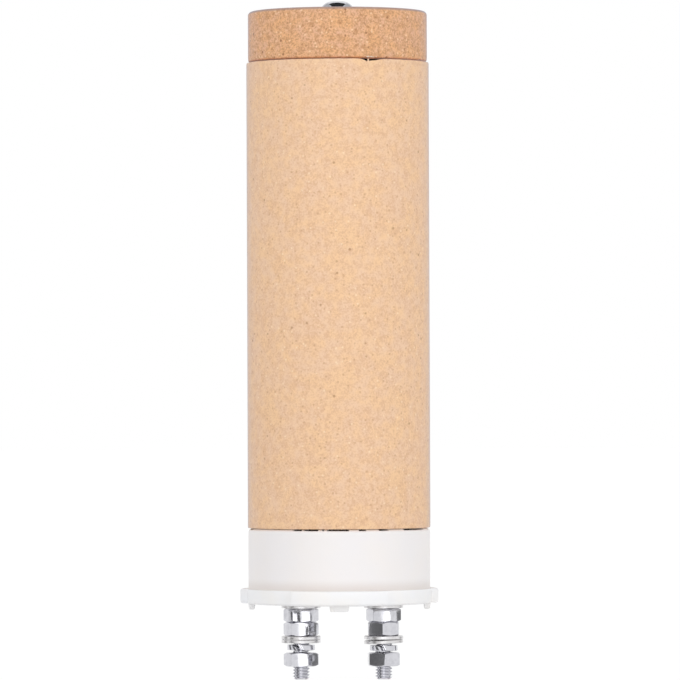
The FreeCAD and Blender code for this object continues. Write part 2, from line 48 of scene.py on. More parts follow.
NEAR = 0.01 * MM

# Places and sizes read from the frame
core_low, core_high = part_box("heater_core")
cap_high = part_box("end_cap")[1]
base_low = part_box("terminal_base")[0]
screw_low, screw_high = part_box("tie_screw")
CORE_RADIUS = core_high.x
CORE_BOTTOM = core_low.z
CORE_TOP = core_high.z
CAP_RADIUS = cap_high.x
CAP_TOP = cap_high.z
STUD_X = {side: sum(corner.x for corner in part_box(side + "_base_washer")) / 2 for side in ("left", "right")}
STUD_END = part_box("right_terminal_stud")[0].z
STUD_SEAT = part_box("right_inner_washer")[1].z + 1.0 * MM

# Heater core and cap
CORE_WALL = 1.8 * MM
RING_WEB = 1.5 * MM
CHANNEL_WEB = 2.7 * MM
CHANNEL_RADIUS = (CORE_RADIUS - CORE_WALL - RING_WEB - CHANNEL_WEB) / 5
CAP_CHANNEL_RADIUS = CHANNEL_RADIUS - 0.3 * MM
OUTER_RING = CORE_RADIUS - CORE_WALL - CHANNEL_RADIUS
INNER_RING = 2 * CHANNEL_RADIUS + CHANNEL_WEB
CORE_EDGE = 0.15 * MM
CAP_LIFT = 0.3 * MM
CAP_ROUND = 0.95 * MM
CAP_RECESS_RADIUS = OUTER_RING + 1.5 * MM
CAP_RECESS_DEPTH = 3.0 * MM
CAP_COUNTERBORE = 1.5 * MM

# The chip in the core's top edge: two lobes, each point right of the middle and below the top, in millimetres
CHIP_LOBES = [
    [(4.2, 0), (5.9, 0.34), (6.85, 0.8), (6.9, -1), (4.2, -1)],
    [(7.1, 0.62), (8.6, 0.46), (11.0, 0), (11.0, -1), (7.1, -1)],
]
CHIP_REACH = 5 * MM

# The cap's small chips over it: degrees right of the front, half the width and half the height in millimetres
CAP_BRUISES = [(19.6, 0.5, 0.34), (22.4, 0.95, 0.24), (25.6, 0.45, 0.2)]

# Terminal base
BASE_RADIUS = CORE_RADIUS - 0.1 * MM
CAVITY_RADIUS = BASE_RADIUS - 3.4 * MM
PLATE_RADIUS = BASE_RADIUS + 0.3 * MM
LUG_RADIUS = PLATE_RADIUS + 1.6 * MM
FOOT_CIRCLE = PLATE_RADIUS - 1.05 * MM
FOOT_DEPTH = 1.7 * MM
FOOT_WIDTH = 4.6 * MM
FOOT_TAPER = 0.22 * MM
PLATE_THICKNESS = 3.7 * MM
PLATE_DRAFT = 0.3 * MM
DRAFT_START = 15.5 * MM
FLOOR_THICKNESS = 4.5 * MM
BAR_TOP = FLOOR_THICKNESS + 1.5 * MM
BAR_HALF_WIDTH = 5.6 * MM
WINDOW_RADIUS = CAVITY_RADIUS - 2.0 * MM
WINDOW_EDGE = BAR_HALF_WIDTH + 0.9 * MM
LUG_SWEEP = math.radians(58)
RIM_HEIGHT = CORE_BOTTOM - 0.42 * MM

# Screw, studs, nuts and washers
THREAD_RADIUS = 2.0 * MM
THREAD_PITCH = 0.7 * MM
THREAD_DEPTH = 0.42 * MM
SCREW_HOLE = THREAD_RADIUS + 0.5 * MM
HEX_FLATS = 7.0 * MM
HEX_CORNER = HEX_FLATS / 2 / math.cos(math.radians(30))
WASHER_RADIUS = 4.5 * MM
WASHER_THICKNESS = 0.8 * MM
WASHER_HOLE = THREAD_RADIUS + 0.15 * MM
HEAD_RADIUS = 4.0 * MM
HEAD_HEIGHT = 3.1 * MM
STUD_HEAD_HEIGHT = 2.8 * MM
TIE_THREAD_LENGTH = 34 * MM

# The spring washer's strip and its turn from the low end to the high one: sweep in degrees, share of rise.
# Its low end stands a little left of the slit's middle. Both ends are cut at a slant.
SPRING_THICKNESS = 1.25 * MM
SPRING_WIDTH = 1.1 * MM
SPRING_BENDS = [(8, 0.24), (9, 0.24), (10, 0.14), (299, -0.1), (10, 0.12), (9, 0.18), (8, 0.18)]
SPRING_LOW_END = 3
SPRING_SLANT = math.radians(9)

# Heating coil
WIRE_RADIUS = 0.5 * MM
COIL_RUN = CHANNEL_RADIUS - 0.4 * MM - 0.55 * MM
COIL_PITCH = 3.2 * MM
COIL_INSET = 2.0 * MM
COIL_STEPS = 16
BRIDGE_RISE = 0.7 * MM
EYE_START = 110
EYE_SWEEP = 320
EYE_STEPS = 24

# Each terminal: the turns of its nuts, its spring washer's slit and its lower washer's lean, in degrees
TERMINALS = {
    "left": {"fixing_nut": 2, "lock_nut": -4, "terminal_nut": -5, "slit": 261, "lean": 0},
    "right": {"fixing_nut": -6.5, "lock_nut": 27, "terminal_nut": 35, "slit": 267, "lean": 2},
}

# The wire's way from the left stud to the right one: each channel by its ring and angle in degrees,
# up the first, down the next and so on
CIRCUIT = [
    (INNER_RING, 180), (OUTER_RING, 180), (OUTER_RING, 210), (OUTER_RING, 240), (INNER_RING, 240),
    (OUTER_RING, 270), (OUTER_RING, 300), (OUTER_RING, 330), (INNER_RING, 300), (OUTER_RING, 0),
    (OUTER_RING, 30), (INNER_RING, 60), (OUTER_RING, 60), (OUTER_RING, 90), (OUTER_RING, 120),
    (OUTER_RING, 150), (INNER_RING, 120), (INNER_RING, 0),
]

# The low stretches of the base's rim: start and width, in degrees anticlockwise from the front
RIM_RELIEFS = [
    (-62.8, 22.2), (-30.9, 6.6), (-23.4, 10.2), (-10.9, 1.3), (-7.8, 14.2), (12.6, 5.0), (26.2, 7.1),
    (45.9, 24.3), (80.0, 16.0), (108.0, 21.0), (141.0, 9.0), (157.0, 18.0), (186.0, 12.0), (207.0, 25.0),
    (240.0, 15.0), (264.0, 22.0),
]


# Nodes of a finish
class Value:
    """A number that varies over a surface. Sums and products of it add Math nodes."""

    def __init__(self, sheet, socket):
        self.sheet = sheet
        self.socket = socket

    def maths(self, operation, *others, **settings):
        inputs = dict(enumerate((self, *others)))
        return self.sheet.add("ShaderNodeMath", {"operation": operation, **settings}, inputs)

    def __add__(self, other):
        return self.maths("ADD", other)

    __radd__ = __add__

    def __sub__(self, other):
        return self.maths("SUBTRACT", other)

    def __rsub__(self, other):
        return (self * -1).maths("ADD", other)

    def __mul__(self, other):
        return self.maths("MULTIPLY", other)

    __rmul__ = __mul__

    def between(self, low, high):
        """0 below low, 1 above high, and a soft step from one to the other."""
        settings = {"interpolation_type": "SMOOTHSTEP"}
        inputs = {"Value": self, "From Min": low, "From Max": high}
        return self.sheet.add("ShaderNodeMapRange", settings, inputs)


class NodeSheet:
    """The nodes of a material or of the world."""

    def __init__(self, owner):
        owner.use_nodes = True
        self.tree = owner.node_tree
        self.tree.nodes.clear()

    def add(self, kind, settings=None, inputs=None, output=0):
        """A node of this kind: its settings first, then the values or links of its sockets."""
        node = self.tree.nodes.new(kind)
        for name, setting in (settings or {}).items():
            setattr(node, name, setting)
        for name, value in (inputs or {}).items():
            if isinstance(value, Value):
                self.tree.links.new(value.socket, node.inputs[name])
            else:
                node.inputs[name].default_value = value
        return Value(self, node.outputs[output]) if len(node.outputs) else node

    def place(self, stretch=(1.0, 1.0, 1.0)):
        """Where a point of the piece is, in metres, each way stretched."""
        spot = self.add("ShaderNodeTexCoord", output="Object")
        return self.add("ShaderNodeMapping", {}, {"Vector": spot, "Scale": stretch})

    def height(self, low, high):
        """0 below one level and 1 above another."""
        place = self.add("ShaderNodeSeparateXYZ", {}, {"Vector": self.place()}, "Z")
        return place.between(low, high)

    def reach(self, near, far):
        """0 nearer to the upright axis than one distance and 1 farther from it than another."""
        sideways = self.place((1.0, 1.0, 0.0))
        distance = self.add("ShaderNodeVectorMath", {"operation": "LENGTH"}, {0: sideways}, "Value")
        return distance.between(near, far)

    def noise(self, grain, detail=2.0, stretch=(1.0, 1.0, 1.0), roughness=0.5):
        """Cloudy variation about 0.5 whose patches are about one grain across."""
        inputs = {"Vector": self.place(stretch), "Scale": 1 / grain, "Detail": detail, "Roughness": roughness}
        return self.add("ShaderNodeTexNoise", {}, inputs)

    def specks(self, spacing, radius, share):
        """1 inside small round specks about one spacing apart, of which this share is there."""
        inputs = {"Vector": self.place(), "Scale": 1 / spacing}
        distance = self.add("ShaderNodeTexVoronoi", {}, inputs, "Distance")
        chance = self.add("ShaderNodeTexVoronoi", {}, inputs, "Color")
        red = self.add("ShaderNodeSeparateColor", {}, {"Color": chance})
        reach = radius / spacing
        return (1 - distance.between(reach * 0.5, reach * 1.2)) * red.between(1 - share, 1 - share + 0.02)

    def mixed(self, share, first, second):
        """The first colour, turning into the second as share goes to 1."""
        inputs = {0: share, 6: first, 7: second}
        return self.add("ShaderNodeMix", {"data_type": "RGBA"}, inputs, 2)

    def bumped(self, height, depth):
        """The surface raised and sunk by a height from 0 to 1, this deep."""
        return self.add("ShaderNodeBump", {}, {"Height": height, "Distance": depth, "Strength": 1.0})

    def surface(self, colour, roughness, normal=None, **constants):
        """The shader of a solid surface, and the output."""
        inputs = {"Base Color": colour, "Roughness": roughness}
        if normal:
            inputs["Normal"] = normal
        inputs.update({name.replace("_", " "): value for name, value in constants.items()})
        shader = self.add("ShaderNodeBsdfPrincipled", {}, inputs)
        self.add("ShaderNodeOutputMaterial", {}, {"Surface": shader})


def linear(red, green, blue):
    """A colour as the photo gives it, 0 to 255, as the light it stands for."""
    def light(part):
        part /= 255
        return part / 12.92 if part <= 0.04045 else ((part + 0.055) / 1.055) ** 2.4
    return (light(red), light(green), light(blue), 1.0)


def new_finish(name):
    """An empty material and the sheet of its nodes."""
    material = bpy.data.materials.new(name)
    return material, NodeSheet(material)


# Finishes: the ceramics' edges look paler and bluer, as fine dust makes them
DUST_SHEEN = {"Sheen_Weight": 0.7, "Sheen_Roughness": 0.3, "Sheen_Tint": (0.5, 0.72, 1.0, 1.0)}


def extruded_core_ceramic():
    """Fine, pale peach fired ceramic: a soft grain, greyish and orange clouds, small dark and pale specks."""
    material, sheet = new_finish("extruded_core_ceramic")
    grain = sheet.noise(0.42 * MM, 3.0, roughness=0.6)
    mottle = sheet.noise(1.6 * MM, 3.0, roughness=0.6)
    hue = sheet.noise(2.2 * MM, 1.0)
    drift = sheet.noise(6 * MM, 1.0)
    clouds = (hue * 0.55 + drift * 0.45).between(0.34, 0.66)
    colour = sheet.mixed(clouds, linear(242, 206, 175), linear(246, 206, 163))
    tone = (grain * 0.6 + mottle * 0.4).between(0.36, 0.6)
    colour = sheet.mixed((1 - tone) * 0.9, colour, linear(227, 184, 148))
    dots = sheet.specks(1.3 * MM, 0.28 * MM, 0.6)
    pale = sheet.specks(1.5 * MM, 0.26 * MM, 0.5)
    brown = sheet.specks(3.2 * MM, 0.34 * MM, 0.35)
    colour = sheet.mixed(dots * 0.6, colour, linear(208, 162, 126))
    colour = sheet.mixed(pale * 0.6, colour, linear(255, 228, 198))
    colour = sheet.mixed(brown * 0.6, colour, linear(176, 130, 92))
    height = grain * 0.6 + mottle * 0.3 - dots * 0.4 - brown * 0.4
    roughness = 0.78 + (grain - 0.5) * 0.2
    sheet.surface(colour, roughness, sheet.bumped(height, 0.04 * MM), Specular_IOR_Level=0.3, **DUST_SHEEN)
    return material


def pressed_cap_ceramic():
    """Coarser, darker ceramic: grains of tan, orange and cream, and a grey line of painted shade round its
    top edge.
    """
    material, sheet = new_finish("pressed_cap_ceramic")
    grain = sheet.noise(0.4 * MM, 3.0, roughness=0.65)
    mottle = sheet.noise(1.2 * MM, 3.0, roughness=0.65)
    hue = sheet.noise(2.2 * MM, 1.0)
    drift = sheet.noise(6 * MM, 1.0)
    clouds = (hue * 0.55 + drift * 0.45).between(0.34, 0.66)
    colour = sheet.mixed(clouds, linear(233, 185, 151), linear(239, 185, 136))
    tone = (grain * 0.65 + mottle * 0.35).between(0.4, 0.58)
    colour = sheet.mixed((1 - tone) * 0.95, colour, linear(200, 149, 107))
    dots = sheet.specks(1.1 * MM, 0.3 * MM, 0.6)
    pale = sheet.specks(1.15 * MM, 0.28 * MM, 0.6)
    dark = sheet.specks(2.4 * MM, 0.36 * MM, 0.45)
    colour = sheet.mixed(dots * 0.6, colour, linear(178, 128, 84))
    colour = sheet.mixed(pale * 0.65, colour, linear(255, 218, 178))
    colour = sheet.mixed(dark * 0.7, colour, linear(142, 93, 58))
    # Painted shade: a grey line round the rounding of the cap's top edge, where it faces up
    rim = sheet.height(CAP_TOP - 0.75 * MM, CAP_TOP - 0.35 * MM)
    rim = rim * sheet.reach(CAP_RADIUS - 1.6 * MM, CAP_RADIUS - 0.8 * MM)
    colour = sheet.mixed(rim * (0.5 + grain * 0.4), colour, linear(158, 136, 132))
    height = grain * 0.6 + mottle * 0.4 + pale * 0.3 - dots * 0.4 - dark * 0.5
    roughness = 0.8 + (grain - 0.5) * 0.2
    sheet.surface(colour, roughness, sheet.bumped(height, 0.08 * MM), Specular_IOR_Level=0.3, **DUST_SHEEN)
    return material


def broken_ceramic():
    """The pale, sugary face of a fresh chip in the cap."""
    material, sheet = new_finish("broken_ceramic")
    grain = sheet.noise(0.25 * MM, 3.0)
    colour = sheet.mixed(grain.between(0.4, 0.6), linear(233, 210, 186), linear(252, 240, 226))
    sheet.surface(colour, 0.85 + (grain - 0.5) * 0.1, sheet.bumped(grain, 0.12 * MM), Specular_IOR_Level=0.3)
    return material


def white_base_ceramic():
    """Dense white ceramic, hardly shiny, faintly clouded, with painted shade on the wall and in the corner
    over the flange.
    """
    material, sheet = new_finish("white_base_ceramic")
    clouds = sheet.noise(9 * MM, 2.0)
    grain = sheet.noise(0.4 * MM, 3.0)
    colour = sheet.mixed(clouds.between(0.25, 0.75), linear(249, 247, 245), linear(246, 247, 250))
    # Painted shade: the wall above the flange a little darker than the flange, and darker still in the corner
    # over it, fading upwards
    wall_shade = sheet.height(PLATE_THICKNESS - 0.1 * MM, PLATE_THICKNESS + 0.2 * MM)
    colour = sheet.mixed(wall_shade * 0.5, colour, linear(238, 231, 229))
    corner_shade = sheet.height(PLATE_THICKNESS - 0.1 * MM, PLATE_THICKNESS)
    corner_shade_fade = 1 - sheet.height(PLATE_THICKNESS + 0.1 * MM, PLATE_THICKNESS + 2.8 * MM)
    colour = sheet.mixed(corner_shade * corner_shade_fade * 0.7, colour, linear(224, 215, 210))
    points = sheet.specks(4.5 * MM, 0.14 * MM, 0.3)
    colour = sheet.mixed(points * 0.3, colour, linear(190, 180, 172))
    height = grain * 0.5 + clouds * 0.5
    roughness = 0.42 + (clouds - 0.5) * 0.3
    sheet.surface(colour, roughness, sheet.bumped(height, 0.02 * MM), Specular_IOR_Level=0.45)
    return material


def plated_steel():
    """Bright plated steel with faint drawing marks along the bar and small stains."""
    material, sheet = new_finish("plated_steel")
    streaks = sheet.noise(0.25 * MM, 2.0, stretch=(1.0, 1.0, 0.05))
    stains = sheet.noise(1.4 * MM, 3.0)
    colour = sheet.mixed(stains.between(0.35, 0.75), linear(214, 214, 219), linear(200, 200, 206))
    roughness = 0.05 + stains * 0.08 + streaks * 0.04
    sheet.surface(colour, roughness, sheet.bumped(streaks, 0.0006 * MM), Metallic=1.0)
    return material


def rolled_washer_steel():
    """Satin sheet steel, tumbled after stamping."""
    material, sheet = new_finish("rolled_washer_steel")
    marks = sheet.noise(0.3 * MM, 3.0)
    stains = sheet.noise(1.8 * MM, 2.0)
    colour = sheet.mixed(stains.between(0.35, 0.7), linear(232, 231, 232), linear(218, 216, 216))
    roughness = 0.26 + marks * 0.12
    sheet.surface(colour, roughness, sheet.bumped(marks, 0.005 * MM), Metallic=1.0)
    return material


def heated_wire():
    """Resistance wire with the brown-grey skin that it gets when it first glows."""
    material, sheet = new_finish("heated_wire")
    skin = sheet.noise(0.8 * MM, 3.0)
    colour = sheet.mixed(skin.between(0.35, 0.65), linear(104, 96, 92), linear(142, 130, 120))
    sheet.surface(colour, 0.4 + skin * 0.25, sheet.bumped(skin, 0.02 * MM), Metallic=0.85)
    return material


CORE_CERAMIC = extruded_core_ceramic()
CAP_CERAMIC = pressed_cap_ceramic()
BROKEN_CERAMIC = broken_ceramic()
BASE_CERAMIC = white_base_ceramic()
PLATED_STEEL = plated_steel()
WASHER_STEEL = rolled_washer_steel()
HEATED_WIRE = heated_wire()


# Modelling
def pick(*pieces):
    """Leave edit mode and select these pieces alone, the first of them active."""
    if bpy.context.mode != "OBJECT":
        bpy.ops.object.mode_set(mode="OBJECT")
    bpy.ops.object.select_all(action="DESELECT")
    for piece in pieces:
        piece.select_set(True)
    if pieces:
        bpy.context.view_layer.objects.active = pieces[0]


def edit(piece):
    """Enter edit mode on a piece with all of it selected."""
    pick(piece)
    bpy.ops.object.mode_set(mode="EDIT")
    bpy.ops.mesh.select_all(action="SELECT")


def mark(kind, wanted):
    """In edit mode, select the points, edges or faces that are wanted, and no others."""
    bpy.ops.mesh.select_mode(type=kind)
    bpy.ops.mesh.select_all(action="DESELECT")
    mesh = bmesh.from_edit_mesh(bpy.context.object.data)
    for item in {"VERT": mesh.verts, "EDGE": mesh.edges, "FACE": mesh.faces}[kind]:
        if wanted(item):
            item.select_set(True)
    mesh.select_flush_mode()
    bmesh.update_edit_mesh(bpy.context.object.data)


def tidy_shell():
    """In edit mode, merge what coincides and turn every face outwards."""
    bpy.ops.mesh.select_all(action="SELECT")
    bpy.ops.mesh.remove_doubles(threshold=0.1 * NEAR)
    bpy.ops.mesh.normals_make_consistent(inside=False)


def drawn(name, points, x=0.0, closed=True):
    """An outline in the upright plane through the axis at x, drawn point by point.

    A point is (radius, height), or (radius, height, size of its rounding, steps of its rounding).
    """
    pick()
    bpy.ops.mesh.primitive_plane_add(size=MM, location=(x, 0, 0))
    piece = bpy.context.object
    piece.name = name
    edit(piece)
    bpy.ops.mesh.merge(type="CENTER")
    bpy.ops.transform.translate(value=(points[0][0], 0, points[0][1]))
    for start, end in zip(points, points[1:]):
        step = (end[0] - start[0], 0, end[1] - start[1])
        bpy.ops.mesh.extrude_vertices_move(TRANSFORM_OT_translate={"value": step})
    if closed:
        mark("VERT", lambda point: len(point.link_edges) == 1)
        bpy.ops.mesh.edge_face_add()
    for radius, height, rounding, steps in (point for point in points if len(point) > 2):
        corner = Vector((radius, 0, height))
        mark("VERT", lambda point: (point.co - corner).length < NEAR)
        bpy.ops.mesh.bevel(offset=rounding, segments=steps, affect="VERTICES", clamp_overlap=False)
    return piece


def turned(name, points, x=0.0, segments=96):
    """A solid turned about the upright axis at x from a closed outline."""
    piece = drawn(name, points, x)
    bpy.ops.mesh.select_all(action="SELECT")
    bpy.ops.mesh.spin(steps=segments, angle=FULL_TURN, center=(x, 0, 0), axis=(0, 0, 1))
    tidy_shell()
    pick(piece)
    return piece


def block(name, low, high):
    """A box between two corners."""
    pick()
    bpy.ops.mesh.primitive_cube_add(size=1, location=(Vector(low) + Vector(high)) / 2)
    piece = bpy.context.object
    piece.name = name
    piece.scale = Vector(high) - Vector(low)
    settle(piece)
    return piece


def rod(name, radius, x, y, low, high, sides=48, turn=0.0):
    """An upright rod, or a prism with few sides, its first corner turned from +X."""
    pick()
    corner_turn = turn - math.pi / 2
    bpy.ops.mesh.primitive_cylinder_add(
        vertices=sides, radius=radius, depth=high - low, location=(x, y, (low + high) / 2),
        rotation=(0, 0, corner_turn),
    )
    piece = bpy.context.object
    piece.name = name
    settle(piece)
    return piece


def settle(piece):
    """Put the piece's place, turn and size into its mesh."""
    pick(piece)
    bpy.ops.object.transform_apply(location=True, rotation=True, scale=True)


def turned_about(piece, angle, axis, centre):
    """Turn a piece's mesh about an axis through a point."""
    settle(piece)
    shift = Matrix.Translation(centre)
    piece.data.transform(shift @ Matrix.Rotation(angle, 4, axis) @ shift.inverted())
    return piece


def joined(name, pieces):
    """Several separate shells as one piece."""
    pick(*pieces)
    if len(pieces) > 1:
        bpy.ops.object.join()
    pieces[0].name = name
    return pieces[0]


def shaped(piece, operation, tool):
    """Cut a piece with a tool, keep what both share, or weld the tool on. The tool is used up."""
    settle(piece)
    settle(tool)
    pick(piece)
    change = piece.modifiers.new("shape", "BOOLEAN")
    change.operation = operation
    change.solver = "MANIFOLD"
    change.material_mode = "TRANSFER"
    change.object = tool
    bpy.ops.object.modifier_apply(modifier=change.name)
    bpy.data.objects.remove(tool)
    return piece


def softened(piece, width, steps=2, sharper_than=30):
    """Round every edge of a piece that is sharper than an angle in degrees."""
    pick(piece)
    change = piece.modifiers.new("soft_edges", "BEVEL")
    change.width = width
    change.segments = steps
    change.limit_method = "ANGLE"
    change.angle_limit = math.radians(sharper_than)
    change.use_clamp_overlap = True
    bpy.ops.object.modifier_apply(modifier=change.name)
    return piece


def roughened(piece, grain, depth, wanted):
    """Push the wanted points of a piece in and out, in patches about one grain across."""
    group = piece.vertex_groups.new(name="rough")
    group.add([point.index for point in piece.data.vertices if wanted(point)], 1.0, "REPLACE")
    clouds = bpy.data.textures.new(piece.name + "_lumps", "CLOUDS")
    clouds.noise_scale = grain
    clouds.noise_depth = 1
    pick(piece)
    change = piece.modifiers.new("lumps", "DISPLACE")
    change.texture = clouds
    change.texture_coords = "LOCAL"
    change.strength = depth
    change.mid_level = 1.0
    change.vertex_group = group.name
    bpy.ops.object.modifier_apply(modifier=change.name)
    piece.vertex_groups.clear()
    return piece


def finished(piece, node, finish, smooth=35):
    """Hand a piece over: its finish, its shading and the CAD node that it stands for."""
    settle(piece)
    bpy.ops.object.material_slot_remove_unused()
    if not any(piece.data.materials):
        piece.data.materials.clear()
        piece.data.materials.append(finish)
    bpy.ops.object.shade_smooth_by_angle(angle=math.radians(smooth))
    piece.name = node + "_finished"
    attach(piece, "root")
    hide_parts(node)
    return piece


def spot(ring, degrees, height=0.0):
    """A point on a ring round the middle."""
    angle = math.radians(degrees)
    return Vector((ring * math.cos(angle), ring * math.sin(angle), height))


# Heater core
def channels(name, radius, low, high):
    """Rods where the eighteen channels go."""
    rods = []
    for ring, degrees in CIRCUIT:
        middle = spot(ring, degrees)
        rods.append(rod(name, radius, middle.x, middle.y, low, high))
    return joined(name, rods)


def wedge(name, corners, reach):
    """A cutter for a broken edge: an upright outline pushed this far into the front of the core."""
    cutter = drawn(name, corners)
    bpy.ops.mesh.select_all(action="SELECT")
    bpy.ops.mesh.edge_face_add()
    bpy.ops.transform.translate(value=(0, reach - CORE_RADIUS, 0))
    bpy.ops.mesh.extrude_region_move(TRANSFORM_OT_translate={"value": (0, -reach - MM, 0)})
    tidy_shell()
    bpy.ops.mesh.subdivide(number_cuts=12)
    pick(cutter)
    return roughened(cutter, 0.6 * MM, 0.1 * MM, lambda point: point.co.z < CORE_TOP)


def core_block():
    """The round block with its channels, its slightly ragged ends and the chip in its top edge."""
    core = turned(
        "core_block",
        [
            (SCREW_HOLE, CORE_BOTTOM),
            (CORE_RADIUS, CORE_BOTTOM, CORE_EDGE, 2),
            (CORE_RADIUS, CORE_BOTTOM + 3 * CORE_EDGE),
            (CORE_RADIUS, CORE_TOP - 3 * CORE_EDGE),
            (CORE_RADIUS, CORE_TOP, CORE_EDGE, 2),
            (SCREW_HOLE, CORE_TOP),
        ],
        segments=300,
    )
    core.data.materials.append(CORE_CERAMIC)
    shaped(core, "DIFFERENCE", channels("channels", CHANNEL_RADIUS, CORE_BOTTOM - MM, CORE_TOP + MM))
    rim = (CORE_BOTTOM + 2 * CORE_EDGE, CORE_TOP - 2 * CORE_EDGE)
    skin = CORE_RADIUS - 2 * CORE_EDGE
    roughened(
        core, 0.9 * MM, 0.1 * MM,
        lambda point: not rim[0] < point.co.z < rim[1] and math.hypot(point.co.x, point.co.y) > skin,
    )
    for lobe in CHIP_LOBES:
        corners = [(right * MM, CORE_TOP - down * MM) for right, down in lobe]
        shaped(core, "DIFFERENCE", wedge("core_chip", corners, CHIP_REACH))
    return finished(core, "heater_core", CORE_CERAMIC)


# End cap
def cap_bruises():
    """Lumpy scoops that take small, fresh chips out of the cap's lower edge, over the core's chip."""
    scoops = []
    for degrees, width, rise in CAP_BRUISES:
        pick()
        middle = spot(CAP_RADIUS + 0.15 * MM, -90 + degrees, CORE_TOP + CAP_LIFT + 0.1 * MM)
        bpy.ops.mesh.primitive_ico_sphere_add(subdivisions=4, radius=1, location=middle)
        scoop = bpy.context.object
        scoop.name = "cap_bruise"
        scoop.scale = (width * MM, 0.5 * MM, rise * MM)
        scoop.rotation_euler.z = math.radians(degrees)
        settle(scoop)
        scoop.data.materials.append(BROKEN_CERAMIC)
        scoops.append(roughened(scoop, 0.4 * MM, 0.15 * MM, lambda point: True))
    return scoops


def cap_disc():
    """The coarse disc over the core, with its eighteen holes, its recess and the seat of the screw."""
    seat_radius = WASHER_RADIUS + 0.3 * MM
    seat = CAP_TOP - CAP_COUNTERBORE
    recess_top = CORE_TOP + CAP_RECESS_DEPTH
    cap = turned(
        "cap_disc",
        [
            (SCREW_HOLE, recess_top),
            (CAP_RECESS_RADIUS, recess_top, 0.4 * MM, 3),
            (CAP_RECESS_RADIUS, CORE_TOP, 0.15 * MM, 2),
            (CAP_RADIUS - 1.2 * MM, CORE_TOP),
            (CAP_RADIUS, CORE_TOP + CAP_LIFT, CAP_LIFT, 3),
            (CAP_RADIUS, CORE_TOP + 4 * CAP_LIFT),
            (CAP_RADIUS, CAP_TOP, CAP_ROUND, 8),
            (seat_radius, CAP_TOP, 0.25 * MM, 3),
            (seat_radius, seat, 0.2 * MM, 2),
            (SCREW_HOLE, seat, 0.2 * MM, 2),
        ],
        segments=240,
    )
    cap.data.materials.append(CAP_CERAMIC)
    shaped(cap, "DIFFERENCE", channels("holes", CAP_CHANNEL_RADIUS, CORE_TOP - MM, CAP_TOP + MM))
    skin = CAP_RADIUS - 2 * CAP_LIFT
    roughened(
        cap, 0.8 * MM, 0.12 * MM,
        lambda point: point.co.z < CORE_TOP + 3 * CAP_LIFT and math.hypot(point.co.x, point.co.y) > skin,
    )
    for scoop in cap_bruises():
        shaped(cap, "DIFFERENCE", scoop)
    return finished(cap, "end_cap", CAP_CERAMIC)


# Terminal base
def sector(name, points, start, sweep, steps):
    """A stretch of a ring: an outline swept about the middle from an angle, both in radians."""
    piece = drawn(name, points)
    bpy.ops.mesh.select_all(action="SELECT")
    bpy.ops.mesh.edge_face_add()
    bpy.ops.mesh.select_all(action="SELECT")
    bpy.ops.mesh.spin(steps=steps, angle=-sweep, center=(0, 0, 0), axis=(0, 0, 1))
    tidy_shell()
    return turned_about(piece, start, "Z", Vector())


def lug(number):
    """One of the lugs round the flange, its outside edges rounded."""
    inside = PLATE_RADIUS - 2 * MM
    outline = [
        (inside, PLATE_DRAFT),
        (LUG_RADIUS, PLATE_DRAFT, 0.6 * MM, 4),
        (LUG_RADIUS, PLATE_THICKNESS, 0.5 * MM, 4),
        (inside, PLATE_THICKNESS),
    ]
    middle = -math.pi / 2 + number * FULL_TURN / 3
    return sector("lug", outline, middle - LUG_SWEEP / 2, LUG_SWEEP, 48)


def foot(number):
    """One of the small tapered feet under the flange, with soft edges."""
    piece = block(
        "foot",
        (-FOOT_WIDTH / 2, -FOOT_CIRCLE - FOOT_DEPTH / 2, base_low.z),
        (FOOT_WIDTH / 2, -FOOT_CIRCLE + FOOT_DEPTH / 2, 0.6 * MM),
    )
    edit(piece)
    mark("FACE", lambda face: face.normal.z < -0.9)
    shrink = (1 - 2 * FOOT_TAPER / FOOT_WIDTH, 1 - 2 * FOOT_TAPER / FOOT_DEPTH, 1)
    bpy.ops.transform.resize(value=shrink, center_override=(0, -FOOT_CIRCLE, base_low.z))
    mark("EDGE", lambda edge: min(point.co.z for point in edge.verts) < 0)
    bpy.ops.mesh.bevel(offset=0.3 * MM, segments=3, affect="EDGES")
    return turned_about(piece, number * math.pi / 2, "Z", Vector())


def air_window(side):
    """The cutter of one air window, beside the bar, its corners rounded."""
    piece = rod("window", WINDOW_RADIUS, 0, 0, -MM, BAR_TOP + MM, sides=120)
    edit(piece)
    bpy.ops.mesh.bisect(
        plane_co=(0, side * WINDOW_EDGE, 0), plane_no=(0, -side, 0), use_fill=True, clear_outer=True,
        threshold=0.1 * NEAR,
    )
    def is_corner(edge):
        ends = [point.co for point in edge.verts]
        upright = abs(ends[0].z - ends[1].z) > MM
        return upright and all(abs(abs(end.y) - WINDOW_EDGE) < NEAR for end in ends)
    mark("EDGE", is_corner)
    bpy.ops.mesh.bevel(offset=1.2 * MM, segments=6, affect="EDGES")
    tidy_shell()
    return piece


